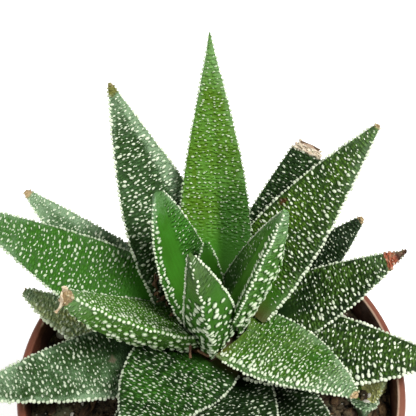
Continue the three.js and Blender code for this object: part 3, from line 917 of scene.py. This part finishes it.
def leaf_finish(leaf, colours):
    """Waxy skin with two greens, bloom, flecks, white tubercles, and marks of its own."""
    colour = {name: with_alpha(getattr(colours, name)) for name in LeafColours.__annotations__}
    f = Finish(leaf.name + "_skin", Subsurface_Weight=0.04, Subsurface_Scale=0.001,
               Subsurface_Radius=(0.6, 1.0, 0.3), Specular_IOR_Level=0.16)
    spot = f.node("ShaderNodeUVMap", {"uv_map": "Place"})
    side = f.part(spot, "X")
    t = f.part(spot, "Y")
    under = side > UNDERSIDE / 2
    edge = abs(side - under * UNDERSIDE)
    unrolled = f.node("ShaderNodeUVMap", {"uv_map": "Skin"})
    lift = f.node("ShaderNodeAttribute", {"attribute_name": "lift"}, out="Fac")
    where = f.place()
    mottle = f.noise(where, 110, 4, 0.6)
    streaks = f.noise(f.stretch(unrolled, (95, 9, 1)), 1, 3, 0.6, "2D")
    fine = f.noise(f.stretch(unrolled, (260, 420, 1)), 1, 4, 0.65, "2D")
    tone = f.step(mottle * 0.65 + streaks * 0.35, 0.34, 0.66)
    green = f.mix(tone, colour[leaf.deep], colour[leaf.green])
    if leaf.below:
        lower = f.mix(tone * 0.6 + 0.4, colour[leaf.green], colour[leaf.below])
        green = f.mix(under, green, lower)
    # The foot takes the leaf's base green: partly its own colour, and on most leaves a darker
    # green as painted shade where the leaves crowd at the stem
    foot = f.step(t + (mottle - 0.5) * 0.2, leaf.bare + 0.14, leaf.bare - 0.06)
    green = f.mix(foot * 0.9, green, colour[leaf.base])
    feet = f.step(t + (mottle - 0.5) * 0.1, leaf.brown + 0.07, leaf.brown - 0.06)
    green = f.mix(feet * 0.8, green, srgb("#50371f"))
    dashes = f.stretch(unrolled, (68, 120, 1))
    dash = f.cells(dashes, 1, kind="2D")
    rough = 1 - foot
    if leaf.panel:
        off = abs(side - leaf.panel_at) + under
        rough = rough * f.step(off, leaf.panel - 0.1, leaf.panel + 0.1)
    # Painted shade: the hollows between the dashes of the skin are darkened, half as much
    # below; the same share also deepens the wrinkles' bump
    hollow_shade = f.step(dash, 0.25, 0.65) * rough * (1 - under * 0.5)
    green = f.mix(hollow_shade * leaf.pits_and_shade, green, f.mix(0.6, colour[leaf.deep], srgb("#081503")))
    bloom = f.step(edge, 0.7, 1.02) * 0.28 + f.step(t, 0.6, 1.0) * 0.7
    bloom = bloom + under * 0.15 + leaf.haze
    if leaf.hoar:
        bloom = bloom + f.step(side - under * UNDERSIDE, 0.1, 0.9) * leaf.hoar
    bloom = f.step(bloom + (fine - 0.5) * 1.1 + (mottle - 0.5) * 1.3, 0.25, 1.0) * leaf.frost
    green = f.mix(bloom * 0.8, green, colour["bloom"])
    # Painted shade: the side of the upper face that the sign of shadow names is darkened
    # towards dim, fully below t = dusk - 0.35 and fading out at dusk
    painted_shade = 0.0
    if leaf.shadow:
        painted_shade = f.step(side * math.copysign(1, leaf.shadow), -0.1, 0.3) * (1 - under)
        painted_shade = painted_shade * f.step(t + (mottle - 0.5) * 0.3, leaf.dusk, leaf.dusk - 0.35)
        painted_shade = painted_shade * abs(leaf.shadow)
        dim = f.mix(0.5, colour["night"], colour[leaf.shadow_green])
        green = f.mix(painted_shade * 0.9, green, dim)
    pick = f.part(f.cells(dashes, 1, "Color", "2D"), "X")
    fleck = f.step(dash, 0.24, 0.12) * (pick > 1 - 0.6 * leaf.flecks)
    fleck = fleck * f.step(t, leaf.bare - 0.02, leaf.bare + 0.1) * rough
    skin = f.mix(fleck * 0.5, green, colour["pearl"])
    # Painted shade: each tubercle's foot is darkened in a ring round its white top
    bead_foot_shade = f.step(lift, 0.0, 0.05) * f.step(lift, 0.6, 0.3)
    skin = f.mix(bead_foot_shade * 0.65, skin, f.mix(0.5, colour[leaf.deep], srgb("#0c1f05")))
    own = f.node("ShaderNodeTexWhiteNoise", {"noise_dimensions": "2D"}, {"Vector": unrolled})
    # Tubercles on the side with painted shade are less white
    chalk = min(1.2, leaf.chalk * 1.25) * (0.55 + own * 0.45) * (1 - painted_shade * 0.45)
    white = f.step(lift + (fine - 0.5) * 0.35, 0.3, 0.85) * chalk
    if leaf.scar:
        place = abs(t - leaf.scar) * (leaf.length / 2) + abs(side - leaf.scar_at) * 5
        wound = f.step(place + fine * 0.8 + (mottle - 0.5) * 3, 1.35, 0.7) * 0.85
        skin = f.mix(wound, skin, srgb(leaf.scab))
        white = white * (1 - wound)
    if leaf.dry:
        ragged = t + (f.noise(where, 900, 3) - 0.5) * 0.03
        tip = f.step(ragged, 0.985 - leaf.dry, 1 - leaf.dry)
        dead = srgb(leaf.dead)
        if leaf.withered:
            aged = f.step(t, 1 - 0.7 * leaf.dry, 1 - 0.45 * leaf.dry)
            dead = f.mix(aged, dead, srgb("#4c332b"))
        patches = f.step(f.noise(where, 500, 4), 0.5, 0.9)
        skin = f.mix(tip, skin, f.mix(patches, dead, colour["dry"]))
        white = white * (1 - tip * 0.7)
    if leaf.cut:
        ragged = t + (f.noise(where, 800, 3) - 0.5) * 0.02
        callus = f.step(ragged, leaf.end - 0.034, leaf.end - 0.02)
        crust = f.step(f.noise(where, 900, 4), 0.35, 0.65)
        pale = f.mix(crust, srgb("#b9a68d"), srgb("#ddd1bb"))
        inner = f.step(edge, 0.4, 0.1) * f.step(t, leaf.end - 0.004, leaf.end)
        skin = f.mix(callus, skin, f.mix(inner * 0.7, pale, srgb("#8b6c57")))
        white = white * (1 - callus)
    roughness = 0.5 + bloom * 0.2 + (fine - 0.5) * 0.2 + white * 0.1
    wrinkles = f.noise(f.stretch(unrolled, (28, 170, 1)), 1, 4, 0.6, "2D")
    ridges = f.step(dash, 0.6, 0.1) * rough
    relief = ridges * 1.2 + wrinkles * (0.15 + rough * 0.6 * leaf.pits_and_shade) + fine * 0.25
    return f.shaded(f.mix(white, skin, colour["pearl"]), roughness, relief, 0.0003, 0.9)


def pot_finish(settings):
    """Moulded plastic with a satin grain, dust in its corners, soil on the inside with painted
    shade deepening below the rim, and a pale rim edge of scuffs and painted highlight.
    """
    f = Finish("pot_plastic", Specular_IOR_Level=0.35)
    where = f.place()
    x, y, z = (f.part(where, axis) for axis in "XYZ")
    radius = (x * x + y * y) ** 0.5
    cloud = f.noise(where, 60, 4, 0.6)
    grain = f.noise(where, 2600, 2)
    scuffs = f.noise(f.stretch(where, (700, 700, 260)), 1, 5, 0.75)
    plastic = with_alpha(settings.plastic)
    body = f.mix(f.step(cloud, 0.3, 0.7), plastic, f.mix(0.12, plastic, srgb("#b5795e")))
    body = f.mix(f.step(scuffs, 0.62, 0.8) * 0.22, body, srgb("#b98b73"))
    # The inside is darkened by soil stains and by painted shade that deepens down towards the
    # soil
    inside = f.step(radius, 0.0503, 0.0500) * (z > 0.0805)
    stain_and_shade = f.step(f.noise(where, 240, 5, 0.7) + f.step(z, 0.0925, 0.083) * 0.35, 0.45, 0.75)
    body = f.mix(inside * (0.35 + stain_and_shade * 0.6), body, srgb("#2e1d15"))
    # The inner edge of the rim goes pale in patches: scuffs, and a painted highlight that is
    # stronger on the side towards the key light
    lip = f.step(z, 0.0924, 0.0929) * f.step(radius, 0.0509, 0.0503)
    wear_and_highlight = lip * f.step(f.noise(where, 130, 4, 0.65) + f.step(x, -0.01, 0.04) * 0.2, 0.5, 0.68)
    body = f.mix(wear_and_highlight * 0.6, body, with_alpha(settings.edge))
    low = f.step(z, 0.012, 0.0) * f.step(cloud + grain * 0.2, 0.4, 0.7)
    body = f.mix(low * 0.4, body, srgb("#c9b7a2"))
    roughness = 0.38 + inside * stain_and_shade * 0.4 + (cloud - 0.5) * 0.2 + low * 0.2
    rings = f.node("ShaderNodeTexNoise", {"noise_dimensions": "1D"},
                   {"W": z * 900.0, "Detail": 2.0})
    return f.shaded(body, roughness, grain * 0.6 + scuffs * 0.1 + rings * 0.4, 0.00008, 0.7)


def soil_finish(settings):
    """Dry peat: dark crumbs, paler fibres and a dust of perlite."""
    f = Finish("peat", Specular_IOR_Level=0.25)
    where = f.place()
    peat = with_alpha(settings.peat)
    lumps = f.noise(where, 420, 6, 0.7)
    colour = f.mix(f.step(lumps, 0.35, 0.68), srgb("#120d09"), peat)
    fibre = f.step(f.noise(f.stretch(where, (1600, 260, 700)), 1, 3), 0.62, 0.7)
    colour = f.mix(fibre * 0.6, colour, srgb("#6d5438"))
    moss = f.step(f.noise(where, 150, 5, 0.7), 0.52, 0.64)
    colour = f.mix(moss * 0.5, colour, srgb("#7c8160"))
    dust = f.step(f.cells(where, 900), 0.26, 0.12)
    pick = f.part(f.cells(where, 900, "Color"), "X") > 0.78
    colour = f.mix(dust * pick * 0.8, colour, srgb("#c4bfae"))
    relief = lumps + f.noise(where, 2200, 4, 0.7) * 0.5
    return f.shaded(colour, 0.8 + (lumps - 0.5) * 0.3, relief, 0.0005)


def bark_finish():
    """Split pine bark with darker layers."""
    f = Finish("bark", Specular_IOR_Level=0.3)
    where = f.place()
    layers = f.noise(f.stretch(where, (500, 180, 1500)), 1, 5, 0.65)
    colour = f.node("ShaderNodeValToRGB", {"stops": (
        (0.3, srgb("#1d140c")), (0.5, srgb("#43301e")), (0.62, srgb("#6f5738")),
        (0.78, srgb("#bb9f73")))}, {0: layers})
    return f.shaded(colour, 0.75 + (layers - 0.5) * 0.3, layers, 0.0004)


def perlite_finish():
    """Chalky grains with fine pores and a little soil on them."""
    f = Finish("perlite", Specular_IOR_Level=0.3)
    where = f.place()
    pores = f.cells(where, 3500)
    dirt = f.step(f.noise(where, 500, 5, 0.7), 0.48, 0.68)
    colour = f.mix(f.step(pores, 0.3, 0.05), srgb("#dcd8cb"), srgb("#98917f"))
    colour = f.mix(dirt * 0.6, colour, srgb("#5b4b39"))
    return f.shaded(colour, 0.8 + dirt * 0.1, pores, 0.00015)


def stem_finish():
    """A woody stem with leaf scars."""
    f = Finish("stem_bark", Specular_IOR_Level=0.3)
    where = f.place()
    rings = f.noise(f.stretch(where, (90, 90, 1100)), 1, 4, 0.6)
    patches = f.noise(where, 300, 4, 0.6)
    colour = f.mix(f.step(rings, 0.4, 0.62), srgb("#3a2c1b"), srgb("#6f6338"))
    colour = f.mix(f.step(patches, 0.5, 0.7) * 0.6, colour, srgb("#8a7a56"))
    return f.shaded(colour, 0.7 + (patches - 0.5) * 0.2, rings, 0.0004)


def fibre_finish(name, dark, pale):
    """Papery remains of dead leaf skin, in two colours."""
    f = Finish(name, Specular_IOR_Level=0.2)
    where = f.place()
    streaks = f.noise(f.stretch(where, (900, 900, 350)), 1, 4, 0.6)
    colour = f.mix(f.step(streaks, 0.35, 0.65), srgb(dark), srgb(pale))
    return f.shaded(colour, 0.72 + (streaks - 0.5) * 0.3, streaks, 0.0002, 0.9)


def soil_height(x, y):
    """The soil's height at a place, in millimetres: a low crown with lumps."""
    crown = SOIL_CROWN * (1 - (x * x + y * y) / RIM_RADIUS ** 2)
    wave = math.sin(0.31 * x + 1.3) * math.sin(0.27 * y + 2)
    wave += 0.5 * math.sin(0.9 * x + 0.5) * math.sin(1.1 * y + 2)
    return SOIL_LEVEL + crown + SOIL_LUMP * wave


def add_lump(bm, x, y, size, flat, subdivisions, chance, sink=0.2, slim=0.0):
    """Beds one lump in the soil at x and y, turned and dented at random."""
    height = soil_height(x, y) + size * flat * (1 - sink) * 0.6
    spin = Matrix.Rotation(chance.uniform(0, 2 * math.pi), 4, "Z")
    tip = Matrix.Rotation(chance.uniform(-0.5, 0.5), 4, "X")
    shape = (chance.uniform(0.7, 1.2) + slim, chance.uniform(0.5, 0.9) - slim / 2, flat)
    matrix = Matrix.Translation((x * MM, y * MM, height * MM)) @ spin @ tip
    matrix = matrix @ Matrix.Diagonal([v * size * MM for v in shape] + [1])
    lump = bmesh.ops.create_icosphere(bm, subdivisions=subdivisions, radius=1, matrix=matrix)
    for vert in lump["verts"]:
        centre = Vector((x * MM, y * MM, height * MM))
        dent = 1 + 0.3 * noise.noise(vert.co * 2100) + slim * noise.noise(vert.co * 900)
        vert.co = centre + (vert.co - centre) * dent


def scatter(bm, count, nearest, sizes, flat, subdivisions, chance, sink=0.2, slim=0.0):
    """Beds lumps of a size range all over the soil, but not nearer to its middle."""
    for _ in range(count):
        turn = chance.uniform(0, 2 * math.pi)
        distance = math.sqrt(chance.uniform(nearest ** 2, LUMP_CENTRES ** 2))
        size = sizes[0] + (sizes[1] - sizes[0]) * chance.random() ** 2
        distance = min(distance, LUMP_REACH - size)
        x, y = distance * math.cos(turn), distance * math.sin(turn)
        add_lump(bm, x, y, size, flat, subdivisions, chance, sink, slim)


class HAWORTHIA_OT_pot(bpy.types.Operator):
    """Turn the pot, with its banded rim, foot ring and drain holes"""

    bl_idname = "haworthia.pot"
    bl_label = "Pot"

    def execute(self, context):
        settings = context.scene.haworthia_pot
        bm = bmesh.new()
        turned(bm, POT_OUTLINE, settings.steps, rounding=settings.rounding)
        drills = []
        for i in range(DRAIN_HOLES):
            turn = 2 * math.pi / DRAIN_HOLES * i
            drill = bmesh.new()
            spot = Vector((DRAIN_RING * math.cos(turn), DRAIN_RING * math.sin(turn), 3)) * MM
            bmesh.ops.create_cone(
                drill, cap_ends=True, segments=HOLE_SIDES, radius1=DRAIN_RADIUS * MM,
                radius2=DRAIN_RADIUS * MM, depth=10 * MM, matrix=Matrix.Translation(spot))
            drills.append(cutter(f"drill_{i}", drill))
        bm = trimmed(bm, drills)
        make_piece("nursery_pot", bm, pot_finish(settings), "pot", "pot", sharp=35)
        return {"FINISHED"}


class HAWORTHIA_OT_soil(bpy.types.Operator):
    """Fill the pot with peat, bark chips and perlite"""

    bl_idname = "haworthia.soil"
    bl_label = "Soil"

    def execute(self, context):
        settings = context.scene.haworthia_soil
        chance = random.Random(SOIL_SEED)
        bm = bmesh.new()
        outline = [(0, 5.3), (35.1, 5.3), (46.7, 80.3), (SOIL_EDGE, 81.9)]
        outline += [(SOIL_EDGE * (1 - i / SOIL_RINGS), SOIL_LEVEL)
                    for i in range(SOIL_RINGS + 1)]
        turned(bm, outline, SOIL_SIDES)
        for vert in bm.verts:
            x, y, z = vert.co / MM
            if z > SOIL_LEVEL - 0.01:
                lumps = noise.fractal(vert.co * 420, 0.8, 2.1, 3) * 0.45
                vert.co.z = (soil_height(x, y) + lumps) * MM
        bm = trimmed(bm, [stem_room("stem_hole")])
        scatter(bm, settings.crumbs, 9, (0.4, 1.5), 0.75, 1, chance)
        make_piece("peat_soil", bm, soil_finish(settings), "soil", "soil", sharp=70)
        chips = bmesh.new()
        scatter(chips, settings.bark, 26, (1.0, 2.8), 0.28, 2, chance, slim=0.5)
        for x, y, size in LARGE_CHIPS:
            add_lump(chips, x, y, size, 0.3, 2, chance, sink=-0.3, slim=0.5)
        make_piece("bark_chips", chips, bark_finish(), "soil", sharp=30)
        grains = bmesh.new()
        scatter(grains, settings.perlite, 24, (0.5, 1.6), 0.8, 2, chance, sink=0.4)
        make_piece("perlite_grains", grains, perlite_finish(), "soil", sharp=60)
        return {"FINISHED"}


def strand(bm, place, heading, length, width, bend, taper):
    """A dry strip, in millimetres, that starts at a place and curls over its heading."""
    radius = length / bend
    shape = Matrix.Translation((radius * MM, 0, 0))
    shape = shape @ Matrix.Diagonal((0.4 * MM, width / 2 * MM, 1, 1))
    ring = bmesh.ops.create_circle(bm, segments=8, radius=1, matrix=shape)["verts"]
    edges = list({edge for vert in ring for edge in vert.link_edges})
    old = set(bm.verts) - set(ring)
    bmesh.ops.spin(bm, geom=ring + edges, cent=(0, 0, 0), axis=(0, -1, 0), angle=bend, steps=9)
    new = [vert for vert in bm.verts if vert not in old]
    rims = {edge for vert in new for edge in vert.link_edges if edge.is_boundary}
    bmesh.ops.edgeloop_fill(bm, edges=list(rims))
    for vert in new:
        turn = math.atan2(vert.co.z, vert.co.x)
        middle = Vector((math.cos(turn), 0, math.sin(turn))) * (radius * MM)
        thin = 1 - taper * turn / bend
        offset = vert.co - middle
        offset.y *= thin
        vert.co = middle + offset + noise.noise_vector(vert.co * 500) * 0.0005
    matrix = Matrix.Translation([v * MM for v in place]) @ heading.to_matrix().to_4x4()
    matrix = matrix @ Matrix.Translation((-radius * MM, 0, 0))
    bmesh.ops.transform(bm, matrix=matrix, verts=new)


class HAWORTHIA_OT_stem(bpy.types.Operator):
    """Turn the short stem, and lay the dry fibres of dead leaf feet round it"""

    bl_idname = "haworthia.stem"
    bl_label = "Stem and fibres"

    def execute(self, context):
        bm = bmesh.new()
        turned(bm, STEM_OUTLINE, STEM_SIDES, centre=(STEM_X, STEM_Y))
        make_piece("woody_stem", bm, stem_finish(), "stem", "stem", sharp=60)
        for name, strips, colours, taper in (
                ("dry_fibres", FIBRES, ("#33231a", "#7d6046"), 0.6),
                ("torn_tip", FLAPS, ("#a48a69", "#dccdb1"), 0.4)):
            bm = bmesh.new()
            for x, y, z, turn, lean, length, width in strips:
                heading = Euler((math.radians(lean), 0, math.radians(turn)))
                strand(bm, (x, y, z), heading, length, width, 1.0, taper)
            bmesh.ops.recalc_face_normals(bm, faces=bm.faces)
            make_piece(name, bm, fibre_finish(name, *colours), "stem", sharp=70)
        return {"FINISHED"}


class HAWORTHIA_OT_leaves(bpy.types.Operator):
    """Grow the leaves, each trimmed round the younger ones inside it, with their tubercles"""

    bl_idname = "haworthia.leaves"
    bl_label = "Leaves"

    def execute(self, context):
        settings = context.scene.haworthia_leaf
        rooms = [stem_room("stem_room")]
        for number, leaf in enumerate(LEAVES):
            rows = round(leaf.length * settings.rows_per_cm / 10)
            bm = trimmed(leaf_bmesh(leaf, rows, settings.columns), rooms)
            chance = random.Random(number + LEAF_SEED)
            add_tubercles(bm, leaf, settings.tubercles, chance)
            finish = leaf_finish(leaf, context.scene.haworthia_colours)
            name = leaf.name + "_leaf"
            make_piece(name, bm, finish, leaf.slot, "leaf_" + leaf.name, sharp=65)
            rows = round(leaf.length * ROOM_ROWS_PER_MM)
            room = leaf_bmesh(leaf, rows, ROOM_COLUMNS, ROOM_GROWTH)
            rooms.append(cutter("room_" + leaf.name, room))
        return {"FINISHED"}


class HAWORTHIA_OT_offset(bpy.types.Operator):
    """Grow the small offset beside the plant"""

    bl_idname = "haworthia.offset"
    bl_label = "Offset"

    def execute(self, context):
        settings = context.scene.haworthia_leaf
        whole = bpy.data.meshes.new("offset_parts")
        bm = bmesh.new()
        for number, leaf in enumerate(OFFSET_LEAVES):
            part = leaf_bmesh(leaf, OFFSET_ROWS, OFFSET_COLUMNS)
            chance = random.Random(number + OFFSET_SEED)
            add_tubercles(part, leaf, settings.tubercles, chance)
            for face in part.faces:
                face.material_index = number
            part.to_mesh(whole)
            part.free()
            bm.from_mesh(whole)
        colours = context.scene.haworthia_colours
        finishes = [leaf_finish(leaf, colours) for leaf in OFFSET_LEAVES]
        make_piece("offset_plant", bm, finishes, "offset", "offset", sharp=65)
        return {"FINISHED"}


class HAWORTHIA_OT_stage(bpy.types.Operator):
    """Lay the floor, hang the lights and set the camera at the photograph's angle"""

    bl_idname = "haworthia.stage"
    bl_label = "Stage"

    def execute(self, context):
        settings = context.scene.haworthia_stage
        scene = context.scene
        bm = bmesh.new()
        bmesh.ops.create_grid(bm, x_segments=4, y_segments=4, size=FLOOR_REACH)
        floor = in_scene("floor", mesh_of("floor", bm))
        f = Finish("floor_paper", Roughness=0.9, Specular_IOR_Level=0.1,
                   Emission_Color=(1, 1, 1, 1), Emission_Strength=FLOOR_GLOW)
        fine = f.step(f.noise(f.place(), 60, 3), 0.2, 0.8)
        pale = with_alpha(settings.floor)
        f.set("Base Color", f.mix(fine, pale, f.mix(0.02, pale, srgb("#dcdcda"))))
        floor.data.materials.append(f.material)

        world = bpy.data.worlds.new("studio")
        world.use_nodes = True
        background = world.node_tree.nodes["Background"]
        background.inputs["Color"].default_value = (1, 1, 1, 1)
        background.inputs["Strength"].default_value = settings.sky
        scene.world = world
        scene.view_settings.view_transform = "Standard"

        for name, spot, size, share in LAMPS:
            lamp = bpy.data.lights.new(name, "AREA")
            lamp.shape = "DISK"
            lamp.size = size
            lamp.energy = settings.key * share
            light = in_scene(name, lamp)
            light.location = spot
            aim = Vector(LAMP_AIM) - light.location
            light.rotation_euler = aim.to_track_quat("-Z", "Y").to_euler()

        lens = bpy.data.cameras.new("camera")
        lens.lens = CAMERA_LENS
        lens.sensor_width = CAMERA_SENSOR
        camera = in_scene("camera", lens)
        camera.location = CAMERA_PLACE
        camera.rotation_euler = (math.radians(CAMERA_TILT), 0, 0)
        scene.camera = camera
        return {"FINISHED"}


OPERATORS = (
    HAWORTHIA_OT_pot, HAWORTHIA_OT_soil, HAWORTHIA_OT_stem, HAWORTHIA_OT_leaves,
    HAWORTHIA_OT_offset, HAWORTHIA_OT_stage,
)
SETTINGS = {
    "haworthia_pot": PotSettings,
    "haworthia_soil": SoilSettings,
    "haworthia_leaf": LeafSettings,
    "haworthia_colours": LeafColours,
    "haworthia_stage": StageSettings,
}


class HAWORTHIA_PT_panel(bpy.types.Panel):
    bl_idname = "HAWORTHIA_PT_panel"
    bl_label = "Potted Haworthia"
    bl_space_type = "VIEW_3D"
    bl_region_type = "UI"
    bl_category = "Haworthia"

    def draw(self, context):
        for operator in OPERATORS:
            self.layout.operator(operator.bl_idname)
        for name, group in SETTINGS.items():
            box = self.layout.box()
            for key in group.__annotations__:
                box.prop(getattr(context.scene, name), key)


CLASSES = (*SETTINGS.values(), *OPERATORS, HAWORTHIA_PT_panel)


def register():
    for cls in CLASSES:
        bpy.utils.register_class(cls)
    for name, group in SETTINGS.items():
        setattr(bpy.types.Scene, name, bpy.props.PointerProperty(type=group))


def unregister():
    for name in SETTINGS:
        delattr(bpy.types.Scene, name)
    for cls in reversed(CLASSES):
        bpy.utils.unregister_class(cls)


def main():
    register()
    for operator in OPERATORS:
        group, name = operator.bl_idname.split(".")
        getattr(getattr(bpy.ops, group), name)()


if __name__ == "__main__":
    main()
